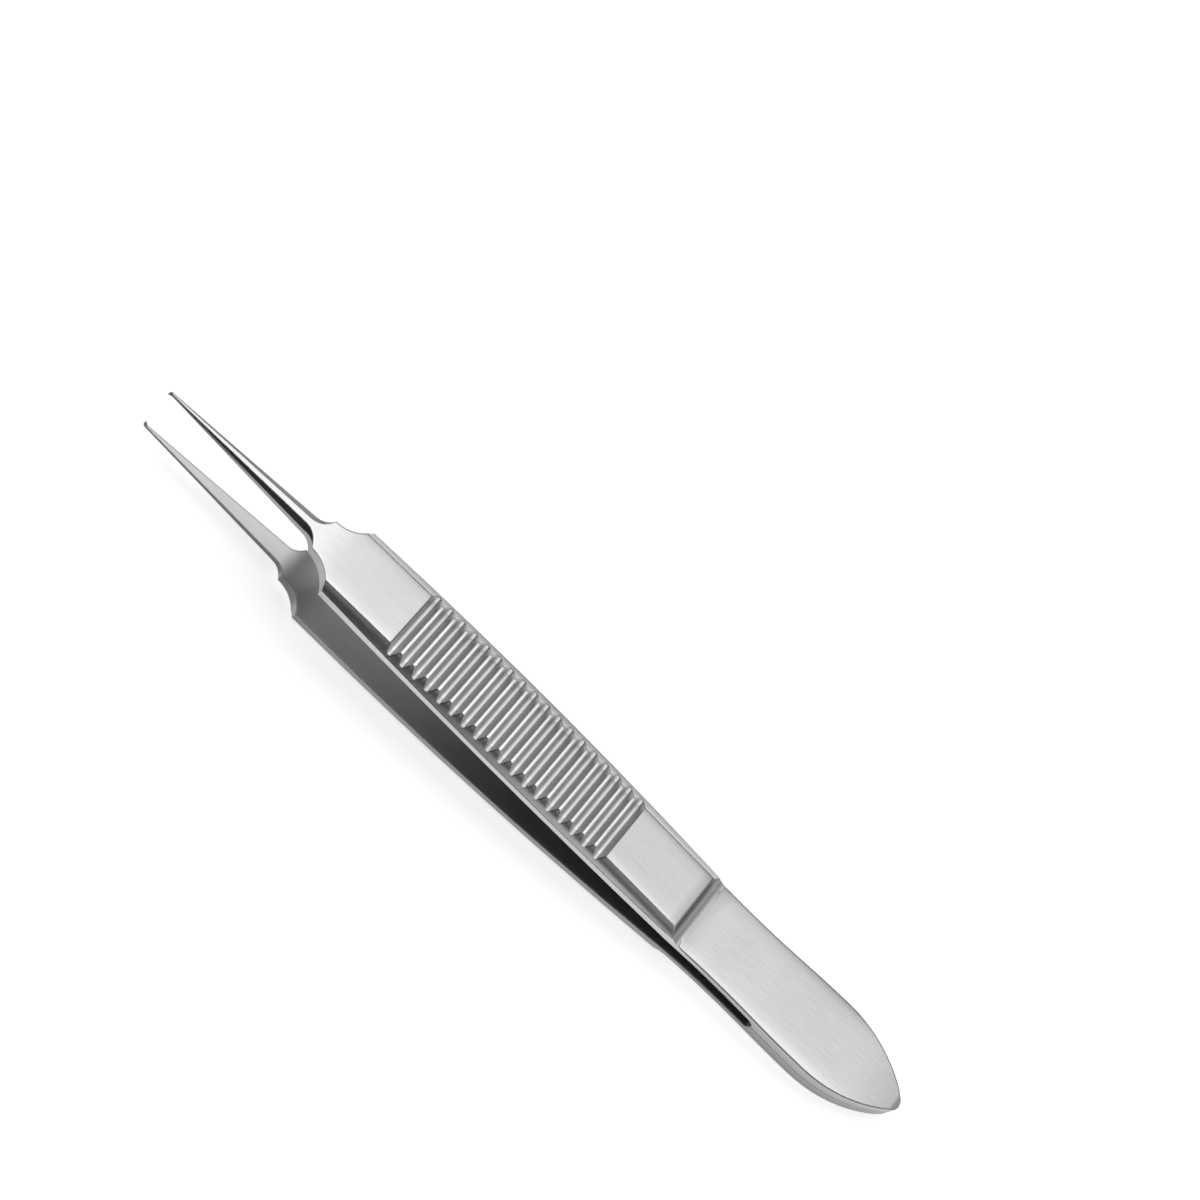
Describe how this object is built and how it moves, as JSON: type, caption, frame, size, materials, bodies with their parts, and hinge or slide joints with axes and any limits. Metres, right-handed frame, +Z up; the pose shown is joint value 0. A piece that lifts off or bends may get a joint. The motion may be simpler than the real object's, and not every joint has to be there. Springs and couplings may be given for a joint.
{
  "type": "thumb forceps",
  "caption": "Fine thumb forceps of satin steel: two sprung arms joined at a flat tail, grooved grips, stepped shoulders and slim shafts with hooked teeth.",
  "frame": {"origin": "on the table under the middle of the forceps as it lies at rest on its lower arm", "axes": "+X along the length from the tail to the tips, +Y across the arms, +Z up"},
  "size_m": [0.1084, 0.01, 0.0131],
  "materials": {
    "satin_steel": "satin, ground along the length"
  },
  "bodies": {
    "root": {"upper_arm": "satin_steel", "lower_arm": "satin_steel"}
  },
  "joints": []
}
